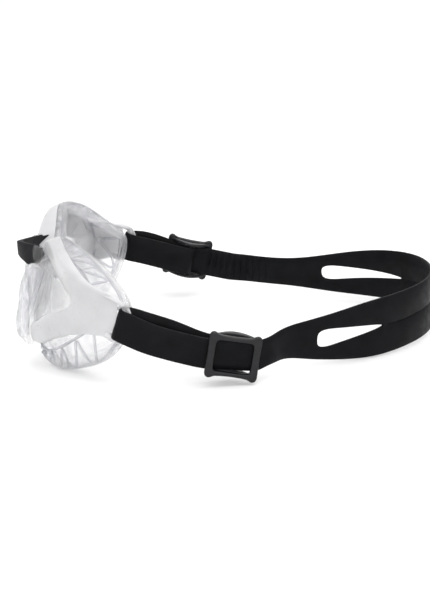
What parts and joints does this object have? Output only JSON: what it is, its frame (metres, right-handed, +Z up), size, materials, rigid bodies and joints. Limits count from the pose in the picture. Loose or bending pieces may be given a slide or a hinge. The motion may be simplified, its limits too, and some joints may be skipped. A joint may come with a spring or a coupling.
{
  "type": "swim mask",
  "caption": "Two-cup swim mask: clear bent lenses in white frames with strap arms, clear soft gaskets, a nose bridge and a split head strap with slider buckles.",
  "frame": {"origin": "on the plane that the mask rests on, at the middle of its width and of its length from lens to strap back", "axes": "+Z up as worn, +Y from the lenses back round the head, +X the wearer's left"},
  "size_m": [0.1694, 0.243, 0.0759],
  "materials": {
    "clear_lens": "clear polycarbonate, polished",
    "clear_plastic": "clear moulded plastic",
    "white_plastic": "white, satin gloss",
    "clear_silicone": "clear soft silicone",
    "black_rubber": "black, satin",
    "black_silicone": "black silicone, matt satin",
    "black_plastic": "black moulded plastic, satin"
  },
  "bodies": {
    "mask": {"lens_left": "clear_lens", "lens_right": "clear_lens", "lens_carrier_left": "clear_plastic", "lens_carrier_right": "clear_plastic", "frame_left": "white_plastic", "frame_right": "white_plastic", "gasket_left": "clear_silicone", "gasket_right": "clear_silicone", "nose_bridge": "black_rubber", "strap": "black_silicone", "strap_return_left": "black_silicone", "strap_return_right": "black_silicone"},
    "buckle_left": {"buckle_left": "black_plastic"},
    "buckle_right": {"buckle_right": "black_plastic"}
  },
  "joints": [
    {"name": "buckle_left_slide", "type": "slide", "parent": "mask", "child": "buckle_left", "axis": [0, 0.995, -0.0995], "range_m": [-0.022, 0], "deforming": ["strap_return_left"]},
    {"name": "buckle_right_slide", "type": "slide", "parent": "mask", "child": "buckle_right", "axis": [0, 0.9654, -0.2607], "range_m": [-0.012, 0.015], "deforming": ["strap_return_right"]}
  ]
}
